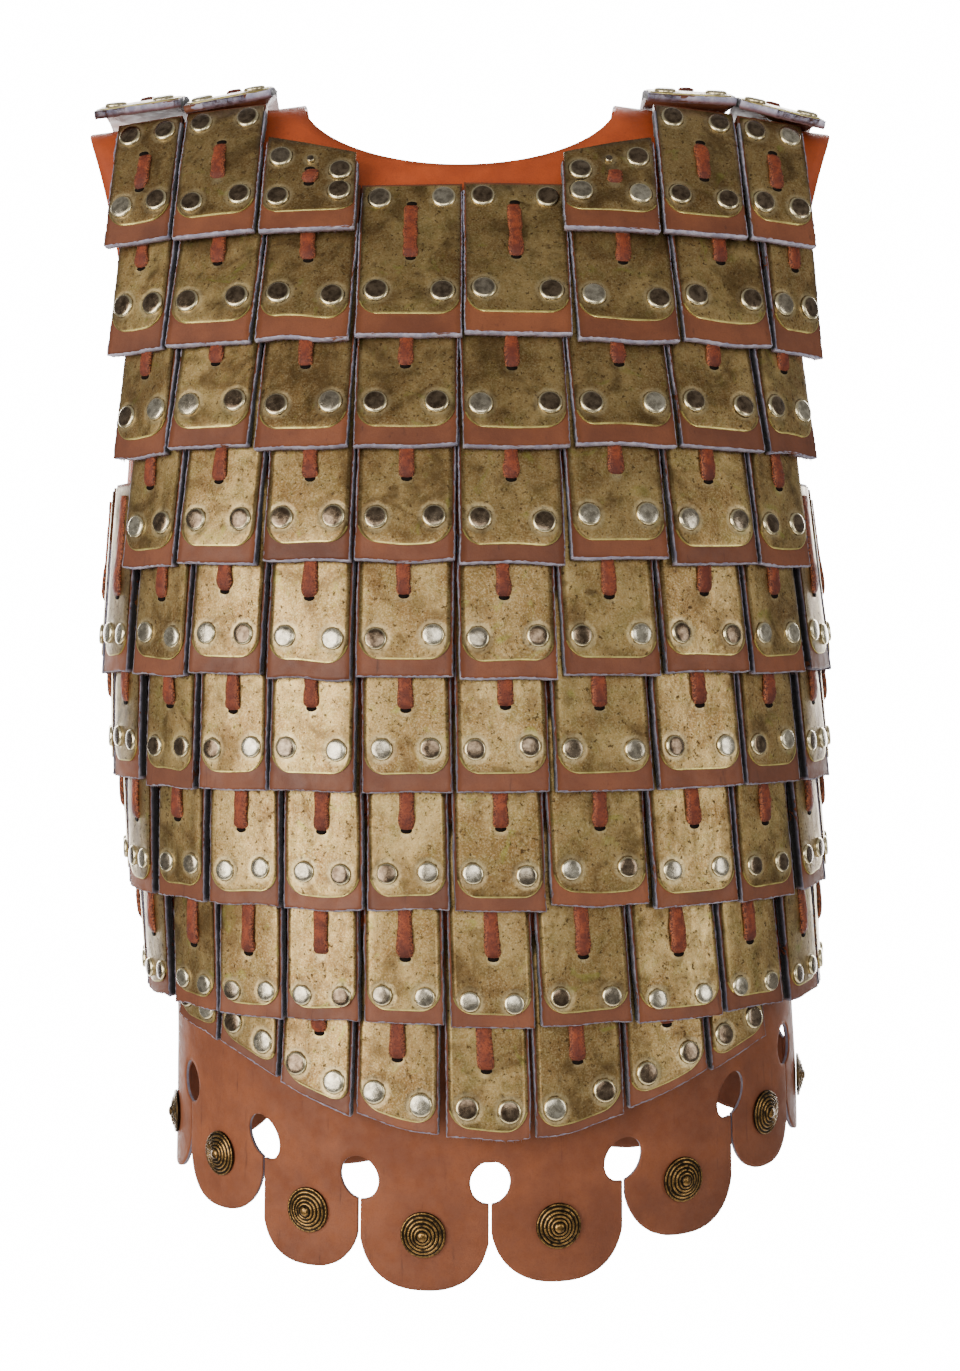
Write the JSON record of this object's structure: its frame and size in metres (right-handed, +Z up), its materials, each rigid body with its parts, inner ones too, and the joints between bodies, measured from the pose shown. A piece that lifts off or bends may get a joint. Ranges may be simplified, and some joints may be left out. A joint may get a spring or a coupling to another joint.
{
  "type": "lamellar armour cuirass",
  "caption": "Sleeveless lamellar armour cuirass in worn shape: leather body faced with overlapping rows of brass-plated leather lamellae, with a scalloped hem that carries stepped bosses.",
  "frame": {"origin": "under the shoulder seams, midway between them, where the wearer's shoulders carry the garment", "axes": "+Z up along the body, -Y out of the front, +X to the right of someone who looks at the front"},
  "size_m": [0.4818, 0.2905, 0.7257],
  "materials": {
    "brass_lamella": "aged brass sheet on thick russet leather, riveted, with a laced thong",
    "base_leather": "smooth orange-brown vegetable-tanned leather",
    "hem_leather": "matt terracotta leather with a bare cut edge",
    "dark_brass": "antique cast brass, dark in its grooves and rubbed bright on its ridges"
  },
  "bodies": {
    "root": {"lamellae_front_A": "brass_lamella", "lamellae_back_A": "brass_lamella", "lamellae_front_B": "brass_lamella", "lamellae_back_B": "brass_lamella", "lamellae_front_C": "brass_lamella", "lamellae_back_C": "brass_lamella", "lamellae_front_D": "brass_lamella", "lamellae_back_D": "brass_lamella", "lamellae_front_E": "brass_lamella", "lamellae_back_E": "brass_lamella", "lamellae_front_F": "brass_lamella", "lamellae_back_F": "brass_lamella", "lamellae_front_G": "brass_lamella", "lamellae_back_G": "brass_lamella", "lamellae_front_H": "brass_lamella", "lamellae_back_H": "brass_lamella", "lamellae_right_D": "brass_lamella", "lamellae_left_D": "brass_lamella", "lamellae_right_E": "brass_lamella", "lamellae_left_E": "brass_lamella", "lamellae_right_F": "brass_lamella", "lamellae_left_F": "brass_lamella", "lamellae_right_G": "brass_lamella", "lamellae_left_G": "brass_lamella", "yoke_front_left": "brass_lamella", "yoke_front_right": "brass_lamella", "yoke_back_left": "brass_lamella", "yoke_back_right": "brass_lamella", "shoulder_left_inner": "brass_lamella", "shoulder_left_outer": "brass_lamella", "shoulder_right_inner": "brass_lamella", "shoulder_right_outer": "brass_lamella", "base_front": "base_leather", "base_back": "base_leather", "hem_front": "hem_leather", "hem_back": "hem_leather", "boss_hem_front_1": "dark_brass", "boss_hem_front_2": "dark_brass", "boss_hem_front_3": "dark_brass", "boss_hem_front_4": "dark_brass", "boss_hem_front_5": "dark_brass", "boss_hem_front_6": "dark_brass", "boss_hem_front_7": "dark_brass", "boss_hem_front_8": "dark_brass", "boss_hem_back_1": "dark_brass", "boss_hem_back_2": "dark_brass", "boss_hem_back_3": "dark_brass", "boss_hem_back_4": "dark_brass", "boss_hem_back_5": "dark_brass"}
  },
  "joints": []
}
